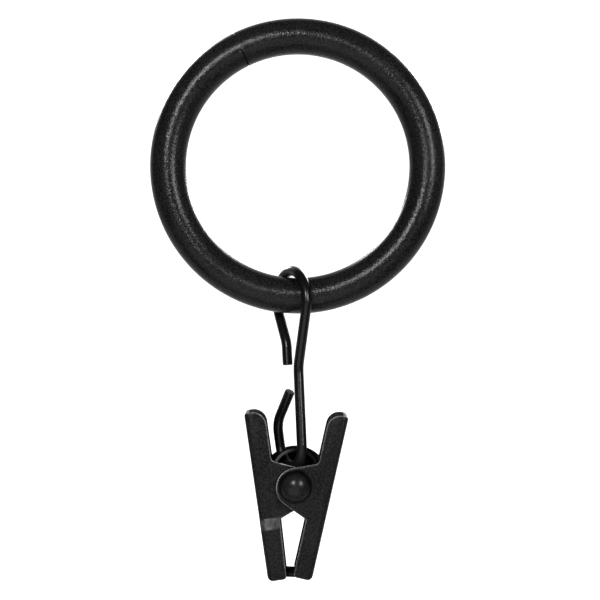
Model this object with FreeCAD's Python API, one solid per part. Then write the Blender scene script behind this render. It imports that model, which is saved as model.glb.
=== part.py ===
import FreeCAD, Part
import math
import os
from FreeCAD import Vector

# Curtain ring with a wire hook and a sprung clip, in millimetres.
# The origin is the centre of the ring. The ring's axis is Y, +Z is up, and the front faces -Y.

# Ring: a round bar bent to a circle, its ends butted together
ring_bore = 38.0
bar_diameter = 6.1
seam_angle = 116.0  # from +X, seen from the front
seam_gap = 0.04  # between the bar ends, at the inner edge of the ring
seam_depth = 3.3  # from the inner edge to where the ends meet
seam_mark_width = 0.2  # the shallow line that runs right round the bar
seam_mark_depth = 0.12

# Hook: one wire with an open eye at each end
wire_diameter = 1.7
wire_end_round = 0.2
bar_clearance = 0.3  # between the wire and the top of the bar it hangs on
upper_eye_radius = 5.1  # to the middle of the wire
upper_eye_turn = 60.7  # between the eye's plane and the ring's plane
upper_eye_left = 1.0  # the eye hangs a little left of the ring's lowest point
front_lean = 15.2  # of the leg that runs down from the front of the upper eye
rear_lean = 29.0  # of the short leg behind
rear_bend_drop = 7.2  # below the middle of the upper eye
rear_bend_radius = 4.0
rear_tail = 3.8
rear_tail_lean = 6.0
kink_drop = 11.1  # below the middle of the upper eye
kink_radius = 6.0
eye_spacing = 24.6  # between the middles of the two eyes
lower_eye_radius = 3.5
lower_eye_turn = 62.0
free_leg_rise = 3.6  # from the middle of the lower eye to the bend in its free leg
free_leg_left = 2.6
free_leg_back = 3.0
free_leg_radius = 5.0
free_tip_rise = 9.2
free_tip_left = 0.36
free_tip_back = 0.2

# Clip: two folded sheet jaws on one rivet, closed by a spring band
clip_left = 0.31  # from the ring's middle to the spring's
clip_lean = 2.25  # foot of the clip to the left
jaw_half_angle = 10.5
clip_depth = 10.0
sheet = 0.7
fold_radius = 0.9  # outside
fold_inside = 0.2
left_reach = 6.8  # from the rivet's axis to the outside of a jaw's back
right_reach = 6.2
left_cheek = 3.45  # width of a cheek, from the back to its free edge
right_cheek = 3.2
left_foot_width = 3.15  # of a cheek at its foot
right_foot_width = 3.2
jaw_above = 13.2  # from the rivet's axis to the end of the handle
left_below = 15.1  # from the rivet's axis to the foot
right_below = 14.8
handle_inner_round = 2.3
handle_outer_round = 0.5
foot_inner_round = 0.5
ear_radius = 3.35
ear_in = 0.2  # from the rivet's axis to the middle of the ear's round end
ear_drop = 0.22
ear_slope = 22.5  # of the ear's edges, where they run out to the cheek
ear_root_round = 0.8
rear_ear_radius = 5.9  # of the right jaw, whose rear ear stands up behind the spring
window_round = 0.25
ear_gap = 0.05  # between the inner and the outer ears
joggle_top = 4.8  # below the rivet's axis, along the left jaw
joggle_length = 1.7
joggle_radius = 0.9
lip_drop = 15.45  # underside of the lips, below the rivet's axis
lip_width = 6.4
lip_gap = 0.01

# Rivet
shank_diameter = 2.8
rivet_fit = 0.05  # radial, in the holes
head_diameter = 5.2
head_height = 1.5
head_edge = 0.25
tail_diameter = 4.2
tail_height = 0.9
tail_edge = 0.2
head_gap = 0.05  # under the head and the tail

# Spring
band_width = 3.5
band_thickness = 0.5
arch_radius = 3.8  # to the middle of the band
arch_rise = 2.03  # of the arch's middle above the rivet's axis
neck_angle = 115.0  # from the top of the arch to where the band bends back
foot_length = 5.2
foot_gap = 0.05
eye_seat_gap = 0.62  # between the lower eye and the band

bar_radius = bar_diameter / 2
ring_radius = ring_bore / 2 + bar_radius
wire_radius = wire_diameter / 2
half_depth = clip_depth / 2
past = 2.0  # how far a cutting solid runs past what it cuts
close = 1e-6  # distance below which two places count as one
up = Vector(0, 0, 1)
across = Vector(0, 1, 0)


def sine(degrees):
    return math.sin(math.radians(degrees))


def cosine(degrees):
    return math.cos(math.radians(degrees))


def tangent(degrees):
    return math.tan(math.radians(degrees))


def bend(before, corner, after, radius):
    """Start, middle and end of the arc that rounds a corner."""
    into = (corner - before).normalize()
    out = (after - corner).normalize()
    half_turn = into.getAngle(out) / 2
    setback = radius * math.tan(half_turn)
    inward = (out - into).normalize()
    middle = corner + inward * (radius / math.cos(half_turn) - radius)
    return corner - into * setback, middle, corner + out * setback


def bent_edges(corners, radii, closed=False):
    """Straight runs joined by tangent arcs. A radius of 0 leaves a sharp corner."""
    count = len(corners)
    stops = []
    for i in range(count):
        inside = closed or 0 < i < count - 1
        if inside and radii[i] > 0:
            stops.append(bend(corners[i - 1], corners[i], corners[(i + 1) % count], radii[i]))
        else:
            stops.append((corners[i],))
    edges = []
    for i, stop in enumerate(stops):
        if len(stop) == 3:
            edges.append(Part.Arc(*stop).toShape())
        if i == count - 1 and not closed:
            break
        start = stop[-1]
        end = stops[(i + 1) % count][0]
        if start.distanceToPoint(end) > close:
            edges.append(Part.LineSegment(start, end).toShape())
    return edges


def rounded_face(corners, plane=lambda a, b: Vector(a, 0, b)):
    """A face from corners given as (first, second, radius) in a plane."""
    points = [plane(a, b) for a, b, radius in corners]
    radii = [radius for a, b, radius in corners]
    return Part.Face(Part.Wire(bent_edges(points, radii, closed=True)))


def plate(face, half_width):
    """The face, which lies in the XZ plane, thickened evenly to both sides."""
    face.translate(across * -half_width)
    return face.extrude(across * 2 * half_width)


def make_ring():
    bar = Part.makeTorus(ring_radius, bar_radius, Vector(), across)
    inner = ring_bore / 2
    spread = seam_gap / 2 * (seam_depth + past) / seam_depth
    slit = plate(
        rounded_face([(inner + seam_depth, 0, 0), (inner - past, spread, 0), (inner - past, -spread, 0)]),
        bar_radius + past,
    )
    foot = Vector(ring_radius, 0, -seam_mark_width / 2)
    mark = Part.makeCylinder(bar_radius + past, seam_mark_width, foot)
    mark = mark.cut(Part.makeCylinder(bar_radius - seam_mark_depth, seam_mark_width, foot))
    seam = Part.makeCompound([slit, mark])
    seam.rotate(Vector(), across, -seam_angle)
    return bar.cut(seam)


def hook_plane(start, turn):
    """Points of an upright plane through start, by distance to the front right and height."""
    along = Vector(cosine(turn), -sine(turn), 0)
    return lambda reach, height: Vector(start.x, start.y, 0) + along * reach + up * height


# The upper eye hangs on the bar a little left of its lowest point
bar_height = -math.sqrt(ring_radius**2 - upper_eye_left**2)
upper_eye_height = bar_height + bar_radius + bar_clearance + wire_radius - upper_eye_radius
upper_plane = hook_plane(Vector(-upper_eye_left, 0, 0), upper_eye_turn)


def beside_eye(radius, lean, drop):
    """How far out a line stands that touches the eye and leans in, at a depth below its middle."""
    return (radius - drop * sine(lean)) / cosine(lean)


def eye_corner(radius, lean):
    """How far out the line along the end of an eye meets a side that leans in."""
    return radius * tangent(45 + lean / 2)


kink = upper_plane(beside_eye(upper_eye_radius, front_lean, kink_drop), upper_eye_height - kink_drop)
kink_reach = -kink.y / sine(lower_eye_turn)
lower_eye_side = kink.x - kink_reach * cosine(lower_eye_turn)
lower_eye_height = upper_eye_height - eye_spacing
lower_plane = hook_plane(Vector(lower_eye_side, 0, 0), lower_eye_turn)


def make_hook():
    eye_top = upper_eye_height + upper_eye_radius
    rear_bend = -beside_eye(upper_eye_radius, rear_lean, rear_bend_drop)
    rear_bend_height = upper_eye_height - rear_bend_drop
    rear_tip = rear_bend + rear_tail * sine(rear_tail_lean)
    rear_tip_height = rear_bend_height - rear_tail * cosine(rear_tail_lean)

    # The front leg runs from the kink to touch the lower eye on its outer side
    kink_rise = kink.z - lower_eye_height
    kink_distance = math.hypot(kink_reach, kink_rise)
    lower_lean = math.asin(lower_eye_radius / kink_distance) - math.atan2(kink_reach, kink_rise)
    eye_foot = lower_eye_height - lower_eye_radius
    lower_eye = Vector(lower_eye_side, 0, lower_eye_height)

    corners = [
        upper_plane(rear_tip, rear_tip_height),
        upper_plane(rear_bend, rear_bend_height),
        upper_plane(-eye_corner(upper_eye_radius, rear_lean), eye_top),
        upper_plane(eye_corner(upper_eye_radius, front_lean), eye_top),
        kink,
        lower_plane(eye_corner(lower_eye_radius, math.degrees(lower_lean)), eye_foot),
        lower_plane(-lower_eye_radius, eye_foot),
        lower_eye + Vector(-free_leg_left, free_leg_back, free_leg_rise),
        lower_eye + Vector(-free_tip_left, free_tip_back, free_tip_rise),
    ]
    radii = [
        0,
        rear_bend_radius,
        upper_eye_radius,
        upper_eye_radius,
        kink_radius,
        lower_eye_radius,
        lower_eye_radius,
        free_leg_radius,
        0,
    ]
    path = Part.Wire(bent_edges(corners, radii))
    section = Part.Face(Part.Wire(Part.makeCircle(wire_radius, corners[0], corners[1] - corners[0])))
    wire = path.makePipe(section)
    rims = []
    for edge in wire.Edges:
        middle = edge.CenterOfMass
        if min(middle.distanceToPoint(tip) for tip in (corners[0], corners[-1])) < close:
            rims.append(edge)
    return wire.makeFillet(wire_end_round, rims)


# The clip hangs on the lower eye: the rear edge of the band rests on the wire
band_reach = band_width / 2 / sine(lower_eye_turn)
seat_depth = math.sqrt((lower_eye_radius - wire_radius) ** 2 - band_reach**2)
seat_side = lower_eye_side - band_reach * cosine(lower_eye_turn) + clip_left
arch_inside = arch_radius - band_thickness / 2
arch_height = lower_eye_height - seat_depth + eye_seat_gap - math.sqrt(arch_inside**2 - seat_side**2)
arch_middle = Vector(-clip_left, 0, arch_height)
rivet_middle = arch_middle - Vector(sine(clip_lean), 0, cosine(clip_lean)) * arch_rise


def seat_in_clip(shape, turn=0):
    """From the clip's own upright frame, with the rivet at its origin, to the hanging place."""
    shape.rotate(Vector(), across, turn + clip_lean)
    shape.translate(rivet_middle)
    return shape


def jaw_outline(reach, cheek, foot_width, below):
    """Side view of a jaw, its back upright on the right and the rivet at the origin."""
    inner = reach - cheek
    root = (ear_radius + (inner - ear_in) * sine(ear_slope)) / cosine(ear_slope)
    nose = ear_in - ear_radius / sine(ear_slope)
    return rounded_face([
        (reach, -below, fold_radius),
        (reach, jaw_above, handle_outer_round),
        (inner, jaw_above, handle_inner_round),
        (inner, root - ear_drop, ear_root_round),
        (nose, -ear_drop, ear_radius),
        (inner, -root - ear_drop, window_round),
        (reach - foot_width, -below, foot_inner_round),
    ])


def lip_outline(reach):
    """Side view of a lip: the foot of the back, turned in level with the closed clip."""

    def on_level(across_jaw, level):
        return (level + across_jaw * sine(jaw_half_angle)) / cosine(jaw_half_angle)

    def at_tip(level):
        side = lip_gap / 2
        return (
            side * cosine(jaw_half_angle) - level * sine(jaw_half_angle),
            side * sine(jaw_half_angle) + level * cosine(jaw_half_angle),
            0,
        )

    low = -lip_drop
    high = sheet - lip_drop
    root = on_level(reach, high) + fold_radius
    return rounded_face([
        (reach, root, 0),
        (reach, on_level(reach, low), fold_radius),
        at_tip(low),
        at_tip(high),
        (reach - sheet, on_level(reach - sheet, high), fold_inside),
        (reach - sheet, root, 0),
    ])


def trough(depths, back, radius):
    """A solid block with a rounded back, as deep as the list of (height, half depth) says."""
    rounds = [0] + [joggle_radius] * (len(depths) - 2) + [0]
    side = [(depth, height, r) for (height, depth), r in zip(depths, rounds)]
    other = [(-depth, height, r) for depth, height, r in reversed(side)]
    front = -back - past
    face = rounded_face(side + other, lambda y, z: Vector(front, y, z))
    block = face.extrude(Vector(back - front, 0, 0))
    long_edges = []
    for edge in block.Edges:
        middle = edge.CenterOfMass
        on_back = abs(middle.x - back) < close
        if on_back and abs(middle.y) > close:
            long_edges.append(edge)
    return block.makeFillet(radius, long_edges)


def raise_rear_ear(jaw, reach, cheek):
    """The jaw with the upper half of its rear ear cut to a larger round."""
    inner_face = across * (half_depth - sheet)
    ear = Part.makeCylinder(rear_ear_radius, sheet, inner_face, across)
    width = rear_ear_radius + reach - cheek / 2
    above = Part.makeBox(width, sheet, rear_ear_radius, inner_face - Vector(rear_ear_radius, 0, 0))
    ear = ear.common(above)
    corner = [edge for edge in ear.Edges if edge.BoundBox.XMax < close - rear_ear_radius]
    return jaw.fuse(ear.makeFillet(ear_root_round, corner)).removeSplitter()


def make_jaw(depths, reach, cheek, foot_width, below, rear_raised=False):
    """A channel of sheet, cut to the jaw's outline, with its foot turned in as a lip."""
    inside = [(height, depth - sheet) for height, depth in depths]
    channel = trough(depths, reach, fold_radius).cut(trough(inside, reach - sheet, fold_inside))
    jaw = channel.common(plate(jaw_outline(reach, cheek, foot_width, below), half_depth + past))
    jaw = jaw.fuse(plate(lip_outline(reach), lip_width / 2)).removeSplitter()
    if rear_raised:
        jaw = raise_rear_ear(jaw, reach, cheek)
    hole = Part.makeCylinder(
        shank_diameter / 2 + rivet_fit, clip_depth + 2 * past, across * -(half_depth + past), across
    )
    return jaw.cut(hole)


def make_right_jaw():
    depths = [(jaw_above + past, half_depth), (-right_below - past, half_depth)]
    jaw = make_jaw(depths, right_reach, right_cheek, right_foot_width, right_below, True)
    return seat_in_clip(jaw, jaw_half_angle)


def make_left_jaw():
    inner_depth = half_depth - sheet - ear_gap
    depths = [
        (jaw_above + past, inner_depth),
        (-joggle_top, inner_depth),
        (-joggle_top - joggle_length, half_depth),
        (-left_below - past, half_depth),
    ]
    jaw = make_jaw(depths, left_reach, left_cheek, left_foot_width, left_below)
    return seat_in_clip(jaw.mirror(Vector(), Vector(1, 0, 0)), -jaw_half_angle)


def cap_arc(rim, crown, half_width):
    """The arc of a dome, from its rim to its crown on the axis."""
    rise = crown - rim
    radius = (half_width**2 + rise**2) / (2 * abs(rise))
    middle = crown - math.copysign(radius, rise)
    half_turn = math.asin(half_width / radius) / 2
    height = middle + math.copysign(radius * math.cos(half_turn), rise)
    halfway = Vector(radius * math.sin(half_turn), height, 0)
    return Part.Arc(Vector(half_width, rim, 0), halfway, Vector(0, crown, 0)).toShape()


def make_rivet():
    front = -half_depth - head_gap
    back = half_depth + head_gap
    head_rim = front - head_edge
    tail_rim = back + tail_edge
    head = head_diameter / 2
    tail = tail_diameter / 2
    shank = shank_diameter / 2
    steps = [
        (head, head_rim),
        (head, front),
        (shank, front),
        (shank, back),
        (tail, back),
        (tail, tail_rim),
    ]
    points = [Vector(x, y, 0) for x, y in steps]
    edges = [Part.LineSegment(a, b).toShape() for a, b in zip(points, points[1:])]
    head_crown = front - head_height
    tail_crown = back + tail_height
    edges.append(cap_arc(tail_rim, tail_crown, tail))
    edges.append(Part.LineSegment(Vector(0, tail_crown, 0), Vector(0, head_crown, 0)).toShape())
    edges.append(cap_arc(head_rim, head_crown, head))
    profile = Part.Face(Part.Wire(Part.__sortEdges__(edges)))
    return seat_in_clip(profile.revolve(Vector(), across, 360))


def spring_side(reach, side):
    """Stops of the band from the arch's neck to the tip of its foot, on the right (1) or left (-1)."""
    outward = Vector(cosine(jaw_half_angle), 0, -sine(jaw_half_angle))
    along = Vector(sine(jaw_half_angle), 0, cosine(jaw_half_angle))
    arch = up * arch_rise
    to_neck = Vector(sine(neck_angle), 0, cosine(neck_angle))
    foot_reach = reach - sheet - foot_gap - band_thickness / 2
    facing = to_neck.dot(outward)
    radius = (foot_reach - arch.dot(outward) - arch_radius * facing) / (1 + facing)
    bend_middle = arch + to_neck * (arch_radius + radius)
    foot = bend_middle + outward * radius
    stops = [arch + to_neck * arch_radius, bend_middle - along * radius, foot, foot + along * foot_length]
    return [Vector(side * stop.x, 0, stop.z) for stop in stops]


def make_spring():
    neck, under, foot, tip = spring_side(right_reach, 1)
    other_neck, other_under, other_foot, other_tip = spring_side(left_reach, -1)
    path = Part.Wire([
        Part.LineSegment(tip, foot).toShape(),
        Part.Arc(foot, under, neck).toShape(),
        Part.Arc(neck, up * (arch_rise + arch_radius), other_neck).toShape(),
        Part.Arc(other_neck, other_under, other_foot).toShape(),
        Part.LineSegment(other_foot, other_tip).toShape(),
    ])
    half = (tip - foot).cross(across).normalize() * (band_thickness / 2)
    side = across * (band_width / 2)
    corners = [tip + half + side, tip + half - side, tip - half - side, tip - half + side]
    section = Part.Face(Part.makePolygon(corners + corners[:1]))
    return seat_in_clip(path.makePipe(section))


os.makedirs("parts", exist_ok=True)
pieces = {
    "ring": make_ring(),
    "hook": make_hook(),
    "left_jaw": make_left_jaw(),
    "right_jaw": make_right_jaw(),
    "rivet": make_rivet(),
    "spring": make_spring(),
}
for name, shape in pieces.items():
    shape.exportStep(f"parts/{name}.step")
    print(name, shape.ShapeType, len(shape.Solids), shape.isValid(), round(shape.Volume, 3))
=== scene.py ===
import bpy
import math
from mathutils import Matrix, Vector


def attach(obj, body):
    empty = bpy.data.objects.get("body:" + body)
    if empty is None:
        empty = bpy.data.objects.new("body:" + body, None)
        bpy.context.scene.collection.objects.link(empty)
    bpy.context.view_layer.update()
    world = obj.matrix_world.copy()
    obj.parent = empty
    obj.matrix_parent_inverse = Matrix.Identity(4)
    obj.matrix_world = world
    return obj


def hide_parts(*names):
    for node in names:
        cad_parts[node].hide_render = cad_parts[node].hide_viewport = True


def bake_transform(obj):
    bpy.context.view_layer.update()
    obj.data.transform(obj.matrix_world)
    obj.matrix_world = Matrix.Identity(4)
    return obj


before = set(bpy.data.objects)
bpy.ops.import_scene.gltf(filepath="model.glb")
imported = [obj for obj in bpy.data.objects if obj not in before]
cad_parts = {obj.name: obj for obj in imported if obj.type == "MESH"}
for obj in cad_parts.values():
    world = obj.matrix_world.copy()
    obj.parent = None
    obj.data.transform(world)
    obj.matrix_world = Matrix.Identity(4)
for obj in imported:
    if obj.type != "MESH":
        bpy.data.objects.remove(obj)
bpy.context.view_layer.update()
scene = bpy.context.scene
scene.view_settings.view_transform = "Standard"
mm = 0.001


# node helpers, which take numbers or other nodes' sockets
def feed(tree, value, socket):
    if isinstance(value, bpy.types.NodeSocket):
        tree.links.new(value, socket)
    else:
        socket.default_value = value


def mathNode(tree, operation, first, second=0.0):
    node = tree.nodes.new("ShaderNodeMath")
    node.operation = operation
    feed(tree, first, node.inputs[0])
    feed(tree, second, node.inputs[1])
    return node.outputs[0]


def multiply(tree, first, *others):
    for other in others:
        first = mathNode(tree, "MULTIPLY", first, other)
    return first


def mapRange(tree, value, low, high, outLow=0.0, outHigh=1.0):
    node = tree.nodes.new("ShaderNodeMapRange")
    feed(tree, value, node.inputs["Value"])
    node.inputs["From Min"].default_value = low
    node.inputs["From Max"].default_value = high
    node.inputs["To Min"].default_value = outLow
    node.inputs["To Max"].default_value = outHigh
    return node.outputs["Result"]


def vectorNode(tree, operation, first, second=None):
    node = tree.nodes.new("ShaderNodeVectorMath")
    node.operation = operation
    feed(tree, first, node.inputs[0])
    if second is not None:
        feed(tree, second, node.inputs[1])
    return node.outputs["Value" if operation in ("DOT_PRODUCT", "LENGTH") else "Vector"]


def axisOf(tree, vector, axis):
    split = tree.nodes.new("ShaderNodeSeparateXYZ")
    tree.links.new(vector, split.inputs[0])
    return split.outputs[axis]


def noiseNode(tree, vector, scale, detail):
    node = tree.nodes.new("ShaderNodeTexNoise")
    tree.links.new(vector, node.inputs["Vector"])
    feed(tree, scale, node.inputs["Scale"])
    node.inputs["Detail"].default_value = detail
    return node.outputs["Fac"]


def mixNode(tree, kind, factor, first, second):
    node = tree.nodes.new("ShaderNodeMix")
    node.data_type = kind
    feed(tree, factor, node.inputs["Factor"])
    feed(tree, first, node.inputs["A"])
    feed(tree, second, node.inputs["B"])
    return node.outputs["Result"]


def mixColour(tree, factor, first, second):
    pair = [v + (1,) if isinstance(v, tuple) else v for v in (first, second)]
    return mixNode(tree, "RGBA", factor, *pair)


def newMat(name):
    mat = bpy.data.materials.new(name)
    mat.use_nodes = True
    mat.node_tree.nodes.clear()
    return mat


# camera, level with the middle of the picture and square to the ring
cameraSet = {
    "place": (0.395, -256.0, -22.77),  # mm
    "lens": 90.3,
    "sensor": 36.0,
    "near": 10.0,  # mm, nothing closer shows
}


def addCamera(c):
    lens = bpy.data.cameras.new("camera")
    lens.lens = c["lens"]
    lens.sensor_width = c["sensor"]
    lens.clip_start = c["near"] * mm
    cam = bpy.data.objects.new("camera", lens)
    cam.location = [v * mm for v in c["place"]]
    cam.rotation_euler = (math.radians(90), 0, 0)
    scene.collection.objects.link(cam)
    scene.camera = cam


# two soft boxes beside the camera, a wide dim panel low in front, and two boxes for the back
lightSet = {
    "aim": -25.0,  # mm, height that they all face
    "far": 520.0,  # mm from there
    "boxes": {
        "left": {"turn": -12, "lift": 18, "size": (100, 100), "power": 1.15},
        "right": {"turn": 34, "lift": 13, "size": (110, 160), "power": 1.0},
        "low": {"turn": -10, "lift": -33, "size": (620, 500), "power": 0.65},
        "backLeft": {"turn": -153, "lift": 26, "size": (160, 160), "power": 1.1},
        "backRight": {"turn": 158, "lift": 20, "size": (160, 160), "power": 1.0},
    },
}


def addLights(c):
    for name, box in c["boxes"].items():
        lamp = bpy.data.lights.new(name, "AREA")
        lamp.shape = "RECTANGLE"
        lamp.size, lamp.size_y = [v * mm for v in box["size"]]
        lamp.energy = box["power"]
        turn, lift = math.radians(box["turn"]), math.radians(box["lift"])
        level = math.cos(lift)
        away = Vector((math.sin(turn) * level, -math.cos(turn) * level, math.sin(lift)))
        placed = bpy.data.objects.new(name, lamp)
        placed.location = Vector((0, 0, c["aim"] * mm)) + away * c["far"] * mm
        placed.rotation_euler = away.to_track_quat("Z", "Y").to_euler()
        placed.visible_camera = False
        scene.collection.objects.link(placed)


# pale floor that runs up into a backdrop behind
floorSet = {
    "height": -140.0,  # mm
    "half": 1500.0,
    "front": -25.0,
    "back": 700.0,
    "wall": 1500.0,
    "sweep": 300.0,  # radius of the bend from floor to wall
    "sweepSteps": 24,
    "colour": (0.7, 0.7, 0.7),
    "glow": 1.0,  # for the camera, so that it reads as white paper
    "mirrored": (0.11, 0.37),  # shares that gloss shows, close to the object and far behind
    "fade": (150.0, 600.0),  # mm behind the object, from the first share to the second
}


def paperCoat(c):
    mat = newMat("paper")
    tree = mat.node_tree
    path = tree.nodes.new("ShaderNodeLightPath").outputs
    place = tree.nodes.new("ShaderNodeTexCoord").outputs["Object"]
    start, end = [v * mm for v in c["fade"]]
    share = mapRange(tree, axisOf(tree, place, "Y"), start, end, *c["mirrored"])
    gloss = mathNode(tree, "MAXIMUM", path["Is Glossy Ray"], path["Is Transmission Ray"])
    seen = mathNode(tree, "MAXIMUM", path["Is Camera Ray"], multiply(tree, gloss, share))
    glow = tree.nodes.new("ShaderNodeEmission")
    tree.links.new(multiply(tree, seen, c["glow"]), glow.inputs["Strength"])
    diffuse = tree.nodes.new("ShaderNodeBsdfDiffuse")
    diffuse.inputs["Color"].default_value = c["colour"] + (1,)
    both = tree.nodes.new("ShaderNodeAddShader")
    tree.links.new(diffuse.outputs[0], both.inputs[0])
    tree.links.new(glow.outputs[0], both.inputs[1])
    out = tree.nodes.new("ShaderNodeOutputMaterial")
    tree.links.new(both.outputs[0], out.inputs["Surface"])
    return mat


def addFloor(c):
    bpy.ops.object.select_all(action="DESELECT")
    bpy.ops.mesh.primitive_plane_add(size=1)
    floor = bpy.context.object
    floor.name = "floor"
    for v in floor.data.vertices:
        v.co.x = math.copysign(c["half"] * mm, v.co.x)
        v.co.y = c["back"] * mm if v.co.y > 0 else c["front"] * mm
        v.co.z = c["height"] * mm
    bpy.ops.object.mode_set(mode="EDIT")
    bpy.ops.mesh.select_mode(type="EDGE")
    bpy.ops.mesh.select_all(action="DESELECT")
    bpy.ops.object.mode_set(mode="OBJECT")
    for e in floor.data.edges:
        e.select = all(floor.data.vertices[i].co.y > 0 for i in e.vertices)
    bpy.ops.object.mode_set(mode="EDIT")
    bpy.ops.mesh.extrude_region_move(TRANSFORM_OT_translate={"value": (0, 0, c["wall"] * mm)})
    bpy.ops.object.mode_set(mode="OBJECT")
    fold = floor.modifiers.new("sweep", "BEVEL")  # rounds the fold between floor and wall
    fold.width = c["sweep"] * mm
    fold.segments = c["sweepSteps"]
    fold.limit_method = "ANGLE"
    bpy.ops.object.modifier_apply(modifier=fold.name)
    bpy.ops.object.shade_smooth()
    floor.data.materials.append(paperCoat(c))


worldSet = {
    "level": 0.05,
    "seen": 1.0,  # for the camera, beyond the floor's edges
}


def addWorld(c):
    world = bpy.data.worlds.new("room")
    scene.world = world
    world.use_nodes = True
    tree = world.node_tree
    sky = tree.nodes["Background"].inputs
    sky["Color"].default_value = (1, 1, 1, 1)
    camera = tree.nodes.new("ShaderNodeLightPath").outputs["Is Camera Ray"]
    tree.links.new(mapRange(tree, camera, 0.0, 1.0, c["level"], c["seen"]), sky["Strength"])


addCamera(cameraSet)
addLights(lightSet)
addFloor(floorSet)
addWorld(worldSet)
print("camera, lights and floor")

# coatings: grain and slow clouds, then specks and scuffs
grainSet = {
    "detail": 2.0,
    "pitScale": 0.8,  # of the grain's own scale: small craters between the melted grains
    "peelScale": 0.16,
    "peelDetail": 1.0,
    "cloudScale": 140.0,  # slow change over 7 mm
    "cloudDetail": 3.0,
    "heightShares": (0.65, 0.35),  # grain and pits
    "toneShares": (0.75, 0.25),  # grain and clouds
    "toneRange": (0.38, 0.62),
    "cloudRange": (0.3, 0.7),
    "sheenRange": (0.25, 0.75),
}
wearSet = {
    "speckScale": 900.0,  # sparse pale specks about 0.1 mm wide
    "speckEdge": (0.05, 0.14),
    "patchScale": 700.0,
    "patchDetail": 1.0,
    "patchRange": (0.58, 0.64),  # specks show where this noise is high
    "stretch": (1.0, 0.4, 0.22),  # scuffs run along one direction
    "scuffScale": 1500.0,
    "scuffDetail": 3.0,
    "scuffRange": (0.62, 0.74),
    "polish": -0.1,  # change of roughness in a scuff
}


def newGroup(name, takes, gives):
    group = bpy.data.node_groups.new(name, "ShaderNodeTree")
    for label in takes:
        kind = "NodeSocketVector" if label == "Vector" else "NodeSocketFloat"
        group.interface.new_socket(label, in_out="INPUT", socket_type=kind)
    for label in gives:
        group.interface.new_socket(label, in_out="OUTPUT", socket_type="NodeSocketFloat")
    start = group.nodes.new("NodeGroupInput")
    end = group.nodes.new("NodeGroupOutput")
    return group, start.outputs, end.inputs


def useGroup(tree, group, values):
    node = tree.nodes.new("ShaderNodeGroup")
    node.node_tree = group
    for label, value in values.items():
        feed(tree, value, node.inputs[label])
    return node.outputs


def cellNode(tree, vector, scale, feature="F1"):
    node = tree.nodes.new("ShaderNodeTexVoronoi")
    node.feature = feature
    tree.links.new(vector, node.inputs["Vector"])
    feed(tree, scale, node.inputs["Scale"])
    return node.outputs["Distance"]


def makeGrainGroup(c):
    takes, gives = ("Vector", "Grain Size", "Peel"), ("Height", "Tone", "Sheen")
    group, start, end = newGroup("coatGrain", takes, gives)
    vector = start["Vector"]
    scale = mathNode(group, "DIVIDE", 1 / mm, start["Grain Size"])  # grain size in mm
    fine = noiseNode(group, vector, scale, c["detail"])
    pits = cellNode(group, vector, multiply(group, scale, c["pitScale"]), "SMOOTH_F1")
    wide = noiseNode(group, vector, multiply(group, scale, c["peelScale"]), c["peelDetail"])
    cloud = noiseNode(group, vector, c["cloudScale"], c["cloudDetail"])
    grainPart, pitPart = c["heightShares"]
    rough = mathNode(group, "ADD", multiply(group, fine, grainPart), multiply(group, pits, pitPart))
    height = mathNode(group, "ADD", rough, multiply(group, wide, start["Peel"]))
    group.links.new(height, end["Height"])
    finePart, cloudPart = c["toneShares"]
    tone = multiply(group, mapRange(group, fine, *c["toneRange"]), finePart)
    slow = multiply(group, mapRange(group, cloud, *c["cloudRange"]), cloudPart)
    group.links.new(mathNode(group, "ADD", tone, slow), end["Tone"])
    group.links.new(mapRange(group, cloud, *c["sheenRange"], -1.0, 1.0), end["Sheen"])
    return group


def makeWearGroup(c):
    takes, gives = ("Vector", "Specks", "Scuffs"), ("Mask", "Polish")
    group, start, end = newGroup("coatWear", takes, gives)
    vector = start["Vector"]
    speckFull, speckEnd = c["speckEdge"]
    near = mapRange(group, cellNode(group, vector, c["speckScale"]), speckFull, speckEnd, 1.0, 0.0)
    patch = noiseNode(group, vector, c["patchScale"], c["patchDetail"])
    some = mapRange(group, patch, *c["patchRange"])
    group.links.new(multiply(group, near, some, start["Specks"]), end["Mask"])
    along = vectorNode(group, "MULTIPLY", vector, c["stretch"])
    lines = noiseNode(group, along, c["scuffScale"], c["scuffDetail"])
    scuff = multiply(group, mapRange(group, lines, *c["scuffRange"]), start["Scuffs"])
    group.links.new(multiply(group, scuff, c["polish"]), end["Polish"])
    return group


def makeRoundGroup(axis):
    takes, gives = ("Vector", "Full", "Clear"), ("Mask",)
    group, start, end = newGroup("rivetShade", takes, gives)
    beside = vectorNode(group, "SUBTRACT", start["Vector"], axis)
    across = vectorNode(group, "MULTIPLY", beside, (1, 0, 1))
    away = vectorNode(group, "LENGTH", across)  # distance from the rivet's axis
    beyond = mathNode(group, "SUBTRACT", away, start["Clear"])
    reach = mathNode(group, "SUBTRACT", start["Full"], start["Clear"])
    share = mathNode(group, "DIVIDE", beyond, reach)
    group.links.new(mapRange(group, share, 0.0, 1.0), end["Mask"])
    return group


def middleOf(piece):
    corners = [Vector(v) for v in piece.bound_box]
    return sum(corners, Vector()) / len(corners)


rivetMiddle = tuple(middleOf(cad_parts["rivet"]))
grainGroup = makeGrainGroup(grainSet)
wearGroup = makeWearGroup(wearSet)
roundGroup = makeRoundGroup(rivetMiddle)


def setColour(made, colour):
    made["tree"].links.new(colour, made["bsdf"].inputs["Base Color"])


def setRough(made, rough):
    made["tree"].links.new(rough, made["bsdf"].inputs["Roughness"])


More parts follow.
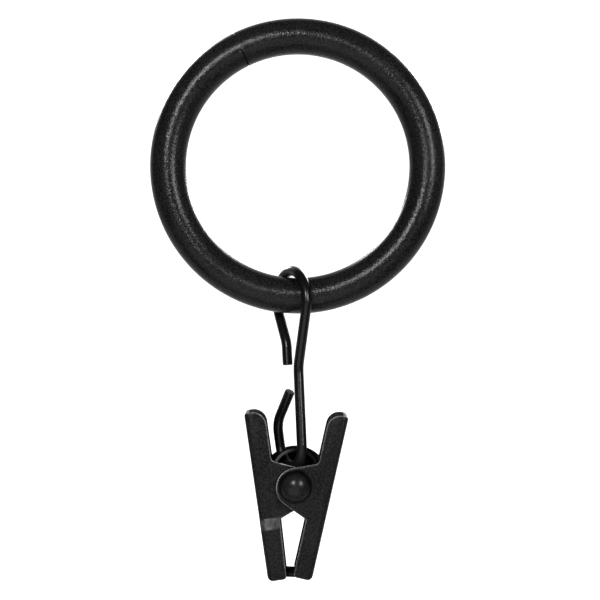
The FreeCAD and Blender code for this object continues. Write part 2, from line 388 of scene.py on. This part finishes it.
def coat(name, c):
    mat = newMat(name)
    tree = mat.node_tree
    bsdf = tree.nodes.new("ShaderNodeBsdfPrincipled")
    out = tree.nodes.new("ShaderNodeOutputMaterial")
    tree.links.new(bsdf.outputs[0], out.inputs["Surface"])
    vector = tree.nodes.new("ShaderNodeTexCoord").outputs["Object"]
    grain = useGroup(tree, grainGroup, {
        "Vector": vector, "Grain Size": c["grain"], "Peel": c["peel"],
    })
    wear = useGroup(tree, wearGroup, {
        "Vector": vector, "Specks": c["specks"], "Scuffs": c["scuffs"],
    })
    body = mixColour(tree, grain["Tone"], c["dark"], c["light"])
    colour = mixColour(tree, wear["Mask"], body, c["speck"])
    sheen = mathNode(tree, "ADD", multiply(tree, grain["Sheen"], c["roughSpread"]), c["rough"])
    rough = mathNode(tree, "ADD", sheen, wear["Polish"])
    bump = tree.nodes.new("ShaderNodeBump")
    bump.inputs["Distance"].default_value = c["bump"] * mm
    tree.links.new(grain["Height"], bump.inputs["Height"])
    tree.links.new(bump.outputs["Normal"], bsdf.inputs["Normal"])
    bsdf.inputs["Specular IOR Level"].default_value = c["shine"]
    made = {
        "mat": mat, "tree": tree, "bsdf": bsdf, "bump": bump,
        "vector": vector, "tone": grain["Tone"], "colour": colour, "rough": rough,
    }
    setColour(made, colour)
    setRough(made, rough)
    return made


def shadeRound(made, colour, c):
    full, clear = [v * mm for v in c["shadeReach"]]
    shade = useGroup(made["tree"], roundGroup, {
        "Vector": made["vector"], "Full": full, "Clear": clear,
    })
    return mixColour(made["tree"], shade["Mask"], colour, c["shade"])


def paint(piece, *mats):
    piece.data.materials.clear()
    for mat in mats:
        piece.data.materials.append(mat)


# ring: powder coated bar, chipped at its seam, with painted shade along the seam's open part
ringSet = {
    "dark": (0.002, 0.002, 0.0021),
    "light": (0.024, 0.024, 0.0247),
    "speck": (0.1, 0.1, 0.1),
    "grain": 0.26,  # mm
    "peel": 0.4,
    "bump": 0.055,  # mm
    "specks": 0.35,
    "scuffs": 0.5,
    "rough": 0.22,
    "roughSpread": 0.04,
    "shine": 0.24,
    "seamAngle": 116.0,  # degrees
    "seamLine": (0.119, 0.17),  # mm, half widths of the painted shade on the open part, fully dark and fading
    "seamOpen": (21.5, 21.8),  # mm from the ring's middle, where the open part ends
    "chips": (21.1, 22.5),  # mm, between which the coating is chipped
    "chipReach": (0.11, 0.55),  # mm to each side, full and fading
    "flakeScale": 2600.0,
    "flakeDetail": 2.0,
    "flakeRange": (0.53, 0.6),
    # colour of the painted shade in the seam
    "seamShade": (0.001, 0.001, 0.001),
    "bareAndHighlight": (0.2, 0.2, 0.2),
}


def ringCoat(c):
    made = coat("ringCoat", c)
    tree, vector = made["tree"], made["vector"]
    turn = math.radians(c["seamAngle"])
    beside = vectorNode(tree, "DOT_PRODUCT", vector, (-math.sin(turn), 0, math.cos(turn)))
    radius = vectorNode(tree, "DOT_PRODUCT", vector, (math.cos(turn), 0, math.sin(turn)))
    off = mathNode(tree, "ABSOLUTE", beside)
    low, high = [v * mm for v in c["chips"]]
    above = mathNode(tree, "GREATER_THAN", radius, low)
    below = mathNode(tree, "LESS_THAN", radius, high)
    full, end = [v * mm for v in c["chipReach"]]
    strip = mapRange(tree, off, full, end, 1.0, 0.0)
    noise = noiseNode(tree, vector, c["flakeScale"], c["flakeDetail"])
    flakes = mapRange(tree, noise, *c["flakeRange"])
    chips = multiply(tree, strip, above, below, flakes)
    chipped = mixColour(tree, chips, made["colour"], c["bareAndHighlight"])
    full, end = [v * mm for v in c["seamLine"]]
    line = mapRange(tree, off, full, end, 1.0, 0.0)
    full, end = [v * mm for v in c["seamOpen"]]
    inner = mapRange(tree, radius, full, end, 1.0, 0.0)
    side = mathNode(tree, "GREATER_THAN", radius)  # not on the far side of the ring
    # painted shade: the seam's open part is coloured near black
    seamShade = multiply(tree, line, inner, side)
    setColour(made, mixColour(tree, seamShade, chipped, c["seamShade"]))
    setRough(made, mathNode(tree, "ADD", made["rough"], seamShade))  # no shine where the seam's shade is painted
    return made["mat"]


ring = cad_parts["ring"]
paint(ring, ringCoat(ringSet))
print("ring")

# hook: smooth lacquered wire, dull where its lower eye rubs
hookSet = {
    "dark": (0.003, 0.003, 0.0032),
    "light": (0.009, 0.009, 0.0094),
    "speck": (0.1, 0.1, 0.1),
    "grain": 0.3,
    "peel": 1.0,
    "bump": 0.02,
    "specks": 0.25,
    "scuffs": 0.8,
    "rough": 0.26,
    "roughSpread": 0.05,
    "shine": 0.45,
    "rubbing": (-49.5, -47.5),  # mm, dull below the first height, glossy above the second
    "dull": 0.4,
}


def wireCoat(c):
    made = coat("wireCoat", c)
    tree = made["tree"]
    low, high = [v * mm for v in c["rubbing"]]
    fadeShare = mapRange(tree, axisOf(tree, made["vector"], "Z"), low, high, c["dull"], 0.0)
    setRough(made, mathNode(tree, "ADD", made["rough"], fadeShare))
    return made["mat"]


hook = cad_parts["hook"]
paint(hook, wireCoat(hookSet))
print("hook")

# jaws: stamped sheet, its sheared edges rolled over, with painted highlights on them and on the
# left jaw's step
jawSet = {
    "dark": (0.006, 0.006, 0.0062),
    "light": (0.027, 0.027, 0.0278),
    "speck": (0.12, 0.12, 0.12),
    "grain": 0.26,
    "peel": 0.6,
    "bump": 0.03,
    "specks": 0.15,
    "scuffs": 0.6,
    "rough": 0.2,
    "roughSpread": 0.03,
    "shine": 0.1,
    "edge": 0.1,  # mm, width of the rounded edges
    "edgeSteps": 3,
    "crease": 38,  # degrees between faces that count as an edge
    "roll": 0.45,  # mm, over which the faces turn towards their edges
    "rollSamples": 8,
    "inside": 1.0,  # mm from the middle, beyond which faces turned inwards have no roll
    # painted highlight along the rolled edges
    "rim": (0.3, 0.3, 0.3),
    "rimLean": (0.98, 0.86),  # cosines of the turn, where the rim starts and is full
    "rimPatch": (0.2, 0.7, 0.5, 1.0),  # range of the grain's tone, and the rim's share there
    "rimBright": (0.8, 0.8, 0.8),  # painted highlight, strongest on the ear's round end
    "brightTurn": 155.0,  # degrees, its direction from the rivet
    "brightReach": (1.9, 3.2, 4.0),  # mm, where it starts, is full and ends
    "stepLevel": -59.4,  # mm, middle of the left jaw's step, where a highlight is painted
    "stepReach": (0.605, 1.1),  # mm above and below, full and fading
    "stepSlope": 0.185,  # the step runs square to the jaw
    "stepSide": -2.4,  # mm, it lies left of here
    "stepDepth": 4.1,  # mm, and further out than this
    "streak": (1.0, 1.0, 0.3),  # the painted highlight is streaked along the jaw
    "streakScale": 2400.0,
    "streakDetail": 3.0,
    "streakRange": (0.3, 0.65, 0.25, 1.0),
    # colour of the painted highlight on the step
    "stepHighlight": (0.115, 0.115, 0.115),
    "shade": (0.001, 0.001, 0.001),  # painted shade round the rivet's head
    "shadeReach": (2.68, 3.0),  # mm from its axis, where it is full and where it ends
}
gripSet = dict(jawSet, rough=0.8, shine=0.0)  # dull faces of the lips
lipSet = {
    "top": -67.2,  # mm, below which what lies between the cheeks belongs to the lips
    "half": 3.25,
    "meet": -0.9747,  # mm, end of the right lip at the level below
    "meetLevel": -68.9,
    "meetSlope": 0.039,
    "meetNear": 0.004,  # mm, within which points lie on that end
    "close": 0.0085,  # mm, so that no light shows between the lips
    "end": 0.3,  # mm, within which faces are the lips' ends
    "flank": 0.9,  # faces turned further to the side than this stay glossy
}
mergeSet = {
    "near": 0.002,  # mm
    "flat": 0.2,  # degrees
}


def mergePoints(c):
    bpy.ops.mesh.select_all(action="SELECT")
    bpy.ops.mesh.remove_doubles(threshold=c["near"] * mm)


def copyNode(node, name):
    bpy.ops.object.select_all(action="DESELECT")
    piece = bpy.data.objects.new(name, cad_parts[node].data.copy())
    scene.collection.objects.link(piece)
    bpy.context.view_layer.objects.active = piece
    piece.select_set(True)
    bpy.ops.object.mode_set(mode="EDIT")
    mergePoints(mergeSet)
    bpy.ops.mesh.dissolve_limited(angle_limit=math.radians(mergeSet["flat"]))  # whole flat faces
    bpy.ops.mesh.normals_make_consistent(inside=False)
    bpy.ops.object.mode_set(mode="OBJECT")
    return piece


def closeLips(piece, c):
    bpy.ops.object.mode_set(mode="EDIT")
    bpy.ops.mesh.select_mode(type="VERT")
    bpy.ops.mesh.select_all(action="DESELECT")
    bpy.ops.object.mode_set(mode="OBJECT")
    for v in piece.data.vertices:
        meet = c["meet"] + c["meetSlope"] * (v.co.z / mm - c["meetLevel"])
        v.select = v.co.z < c["top"] * mm and abs(v.co.x / mm - meet) < c["meetNear"]
    bpy.ops.object.mode_set(mode="EDIT")
    bpy.ops.transform.translate(value=(-c["close"] * mm, 0, 0))
    bpy.ops.object.mode_set(mode="OBJECT")


def breakEdges(piece, c):
    edge = piece.modifiers.new("edge", "BEVEL")
    edge.width = c["edge"] * mm
    edge.segments = c["edgeSteps"]
    edge.limit_method = "ANGLE"
    edge.angle_limit = math.radians(c["crease"])
    edge.use_clamp_overlap = True
    bpy.ops.object.modifier_apply(modifier=edge.name)
    bpy.ops.object.shade_smooth_by_angle(angle=math.radians(c["crease"]))


def highlightSide(made, c):
    tree = made["tree"]
    turn = math.radians(c["brightTurn"])
    low, high, end = [v * mm for v in c["brightReach"]]
    beside = vectorNode(tree, "SUBTRACT", made["vector"], rivetMiddle)
    along = vectorNode(tree, "DOT_PRODUCT", beside, (math.cos(turn), 0, math.sin(turn)))
    rise = mapRange(tree, along, low, high)
    return multiply(tree, rise, mathNode(tree, "LESS_THAN", along, end))


def rolledEdges(made, colour, c):
    tree = made["tree"]
    soft = tree.nodes.new("ShaderNodeBevel")
    soft.samples = c["rollSamples"]
    soft.inputs["Radius"].default_value = c["roll"] * mm
    flat = tree.nodes.new("ShaderNodeNewGeometry").outputs["Normal"]
    outward = multiply(tree, axisOf(tree, flat, "Y"), axisOf(tree, made["vector"], "Y"))
    outer = mathNode(tree, "GREATER_THAN", outward, -c["inside"] * mm)
    rolled = mixNode(tree, "VECTOR", outer, flat, soft.outputs["Normal"])
    tree.links.new(rolled, made["bump"].inputs["Normal"])
    # painted highlight where the faces turn towards their edges
    rim = mapRange(tree, vectorNode(tree, "DOT_PRODUCT", rolled, flat), *c["rimLean"])
    patchy = mapRange(tree, made["tone"], *c["rimPatch"])
    bareAndHighlight = mixColour(tree, highlightSide(made, c), c["rim"], c["rimBright"])
    return mixColour(tree, multiply(tree, rim, patchy), colour, bareAndHighlight)


# painted highlight on the left jaw's step, streaked along the jaw
def highlightedStep(made, colour, c):
    tree, vector = made["tree"], made["vector"]
    across, depth, height = [axisOf(tree, vector, axis) for axis in "XYZ"]
    level = mathNode(tree, "ADD", height, multiply(tree, across, -c["stepSlope"]))
    off = mathNode(tree, "ABSOLUTE", mathNode(tree, "SUBTRACT", level, c["stepLevel"] * mm))
    full, end = [v * mm for v in c["stepReach"]]
    strip = mapRange(tree, off, full, end, 1.0, 0.0)
    left = mathNode(tree, "LESS_THAN", across, c["stepSide"] * mm)
    aside = mathNode(tree, "ABSOLUTE", depth)
    outer = mathNode(tree, "GREATER_THAN", aside, c["stepDepth"] * mm)
    drawn = vectorNode(tree, "MULTIPLY", vector, c["streak"])
    noise = noiseNode(tree, drawn, c["streakScale"], c["streakDetail"])
    streaks = mapRange(tree, noise, *c["streakRange"])
    return mixColour(tree, multiply(tree, left, outer, strip, streaks), colour, c["stepHighlight"])


def sheetCoat(c):
    made = coat("sheetCoat", c)
    rimmed = rolledEdges(made, made["colour"], c)
    setColour(made, shadeRound(made, highlightedStep(made, rimmed, c), c))
    return made["mat"]


def dullLips(piece, c):
    for face in piece.data.polygons:
        spot = face.center / mm
        inLip = spot.z < c["top"] and abs(spot.y) < c["half"]
        atEnd = abs(spot.x - c["meet"]) < c["end"]
        face.material_index = 1 if inLip and (atEnd or abs(face.normal.x) < c["flank"]) else 0


sheetMat = sheetCoat(jawSet)
gripMat = coat("gripCoat", gripSet)["mat"]
for node, body in (("left_jaw", "clip_body"), ("right_jaw", "right_jaw_body")):
    jaw = copyNode(node, node + "_sheet")
    if node == "right_jaw":
        closeLips(jaw, lipSet)
    breakEdges(jaw, jawSet)
    paint(jaw, sheetMat, gripMat)
    dullLips(jaw, lipSet)
    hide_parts(node)
    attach(jaw, body)
    print(node, len(jaw.data.polygons), "faces")

# rivet: domed and burnished by the riveting tool
rivetSet = {
    "dark": (0.006, 0.006, 0.0063),
    "light": (0.02, 0.02, 0.0206),
    "speck": (0.12, 0.12, 0.12),
    "grain": 0.3,
    "peel": 0.8,
    "bump": 0.01,
    "specks": 0.08,
    "scuffs": 1.0,
    "rough": 0.24,
    "roughSpread": 0.05,
    "shine": 0.27,
    "crease": 35,  # degrees
    "shade": (0.001, 0.001, 0.001),
    "shadeReach": (2.5, 1.9),  # mm, painted shade darkens the dome towards its edge
}


def rivetCoat(c):
    made = coat("rivetCoat", c)
    setColour(made, shadeRound(made, made["colour"], c))
    return made["mat"]


rivet = copyNode("rivet", "rivet_head")
bpy.ops.object.shade_smooth_by_angle(angle=math.radians(rivetSet["crease"]))
paint(rivet, rivetCoat(rivetSet))
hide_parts("rivet")
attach(rivet, "clip_body")
print("rivet", len(rivet.data.polygons), "faces")

# spring band: bent over the rivet, its feet turned along the handles
bandSet = {
    "dark": (0.003, 0.003, 0.0031),
    "light": (0.009, 0.009, 0.0093),
    "speck": (0.1, 0.1, 0.1),
    "grain": 0.3,
    "peel": 0.8,
    "bump": 0.01,
    "specks": 0.2,
    "scuffs": 1.0,
    "rough": 0.5,
    "roughSpread": 0.05,
    "shine": 0.0,
    "cut": (0.09, 0.09, 0.09),  # painted highlight on the cut sides
    "cutFacing": (0.3, 0.9),
    "cutReach": (-2.4, -0.4),  # mm, left of the first the painted highlight is full, right of the second painted shade leaves the least share of it
    "cutLeast": 0.12,
    "width": 3.5,  # mm, from here on
    "thick": 0.5,
    "archRadius": 3.8,
    "archRise": 2.03,
    "arch": (-0.31, -51.854),
    "leftReach": 6.8,
    "rightReach": 6.2,
    "behind": 1.0,  # sheet, gap and half the band
    "foot": 5.2,
    "follow": (1.4, 4.4),  # from the arch's middle, between which it starts to turn with the handle
    "edge": 0.06,
    "edgeSteps": 3,
    "archSteps": 36,
    "bendSteps": 28,
    "lean": 2.25,  # degrees, from here on
    "neck": 115.0,
    "handleAngle": 10.5,
    "crease": 40,
}


def bandPath(c, reach):
    handle = math.radians(c["handleAngle"])
    neck = math.radians(c["neck"])
    outward = Vector((math.cos(handle), 0, -math.sin(handle)))
    along = Vector((math.sin(handle), 0, math.cos(handle)))
    arch = Vector((0, 0, c["archRise"]))
    toNeck = Vector((math.sin(neck), 0, math.cos(neck)))
    facing = toNeck.dot(outward)
    room = reach - c["behind"] - arch.dot(outward)
    radius = (room - c["archRadius"] * facing) / (1 + facing)  # of the bend that ends on the handle
    return arch, arch + toNeck * (c["archRadius"] + radius), along * c["foot"]


def bandHalf(c, reach, side):
    lean = math.radians(c["lean"])
    sine, cosine = math.sin(lean), math.cos(lean)
    archX, archZ = c["arch"]
    pivot = Vector((archX, 0, archZ)) - Vector((sine, 0, cosine)) * c["archRise"]

    def leaned(v):
        x, z = side * v.x, v.z
        return Vector((x * cosine + z * sine, 0, z * cosine - x * sine))

    def seat(v):
        return (leaned(v) + pivot) * mm

    arch, bendMiddle, foot = bandPath(c, reach)
    bpy.ops.object.select_all(action="DESELECT")
    top = seat(arch + Vector((0, 0, c["archRadius"])))
    upright = (0, math.radians(90) + lean, 0)
    bpy.ops.mesh.primitive_plane_add(size=1, location=top, rotation=upright)
    half = bpy.context.object
    half.scale = (c["thick"] * mm, c["width"] * mm, 1)
    bpy.ops.object.transform_apply(location=True, rotation=True, scale=True)
    bpy.ops.object.mode_set(mode="EDIT")
    bpy.ops.mesh.select_all(action="SELECT")
    over = -side * math.radians(c["neck"])
    bpy.ops.mesh.spin(steps=c["archSteps"], angle=over, center=seat(arch), axis=(0, 1, 0))
    back = side * math.radians(c["neck"] + 90 - c["handleAngle"])
    bpy.ops.mesh.spin(steps=c["bendSteps"], angle=back, center=seat(bendMiddle), axis=(0, 1, 0))
    bpy.ops.mesh.extrude_region_move(TRANSFORM_OT_translate={"value": leaned(foot) * mm})
    bpy.ops.object.mode_set(mode="OBJECT")
    return half


def makeBand(c):
    halves = [bandHalf(c, c["rightReach"], 1), bandHalf(c, c["leftReach"], -1)]
    bpy.ops.object.select_all(action="DESELECT")
    for half in halves:
        half.select_set(True)
    bpy.context.view_layer.objects.active = halves[0]
    bpy.ops.object.join()
    band = bpy.context.object
    band.name = "springBand"
    bpy.ops.object.mode_set(mode="EDIT")
    mergePoints(mergeSet)
    bpy.ops.mesh.select_all(action="DESELECT")
    bpy.ops.mesh.select_interior_faces()
    bpy.ops.mesh.delete(type="FACE")
    bpy.ops.mesh.select_all(action="SELECT")
    bpy.ops.mesh.normals_make_consistent(inside=False)
    bpy.ops.object.mode_set(mode="OBJECT")
    breakEdges(band, c)
    return band


def bandCoat(c):
    made = coat("springCoat", c)
    tree = made["tree"]
    normal = tree.nodes.new("ShaderNodeNewGeometry").outputs["Normal"]
    aside = mathNode(tree, "ABSOLUTE", axisOf(tree, normal, "Y"))
    # painted highlight on the cut sides, under painted shade towards the right
    cutFaces = mapRange(tree, aside, *c["cutFacing"])
    left, right = [v * mm for v in c["cutReach"]]
    fadeShare = mapRange(tree, axisOf(tree, made["vector"], "X"), left, right, 1.0, c["cutLeast"])
    setColour(made, mixColour(tree, multiply(tree, cutFaces, fadeShare), made["colour"], c["cut"]))
    return made["mat"]


band = makeBand(bandSet)
paint(band, bandCoat(bandSet))
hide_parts("spring")
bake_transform(band)
print("spring band", len(band.data.polygons), "faces")
